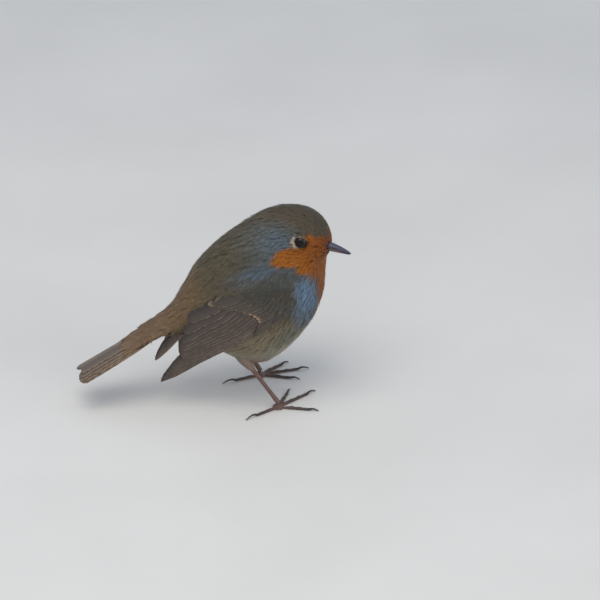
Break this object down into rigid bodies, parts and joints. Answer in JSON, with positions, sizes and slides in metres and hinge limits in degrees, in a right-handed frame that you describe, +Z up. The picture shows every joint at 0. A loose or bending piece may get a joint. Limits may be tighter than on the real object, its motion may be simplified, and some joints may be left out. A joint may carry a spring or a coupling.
{
  "type": "european robin",
  "caption": "Life-size still model of a european robin standing with drooped wings and its head turned to its right.",
  "frame": {"origin": "bottom centre of the whole bird's box, on the floor", "axes": "+X the way the body faces, +Y the bird's left, +Z up"},
  "size_m": [0.1215, 0.0534, 0.0924],
  "materials": {
    "plumage_back": "soft olive-brown feathers",
    "plumage_face": "soft orange feathers, edged with blue-grey",
    "plumage_thigh": "soft whitish and buff feathers",
    "flight_feathers": "smooth brown vanes, slightly glossy",
    "leg_skin": "scaled pinkish-brown skin, satin",
    "horn": "dark horn, satin",
    "eye": "glossy, wet, near black"
  },
  "bodies": {
    "root": {"rump": "plumage_back", "trunk": "plumage_back", "neck": "plumage_face", "head": "plumage_face", "eye_left": "eye", "eye_right": "eye", "bill_upper": "horn", "bill_lower": "horn", "wing_left_coverts": "plumage_back", "wing_left_secondaries": "flight_feathers", "wing_left_primaries": "flight_feathers", "wing_right_coverts": "plumage_back", "wing_right_secondaries": "flight_feathers", "wing_right_primaries": "flight_feathers", "thigh_left": "plumage_thigh", "tarsus_left": "leg_skin", "sole_left": "leg_skin", "toe_left_hind": "leg_skin", "claw_left_hind": "horn", "toe_left_inner": "leg_skin", "claw_left_inner": "horn", "toe_left_middle": "leg_skin", "claw_left_middle": "horn", "toe_left_outer": "leg_skin", "claw_left_outer": "horn", "thigh_right": "plumage_thigh", "tarsus_right": "leg_skin", "sole_right": "leg_skin", "toe_right_hind": "leg_skin", "claw_right_hind": "horn", "toe_right_inner": "leg_skin", "claw_right_inner": "horn", "toe_right_middle": "leg_skin", "claw_right_middle": "horn", "toe_right_outer": "leg_skin", "claw_right_outer": "horn", "tail_middle": "flight_feathers", "tail_left": "flight_feathers", "tail_right": "flight_feathers"}
  },
  "joints": []
}
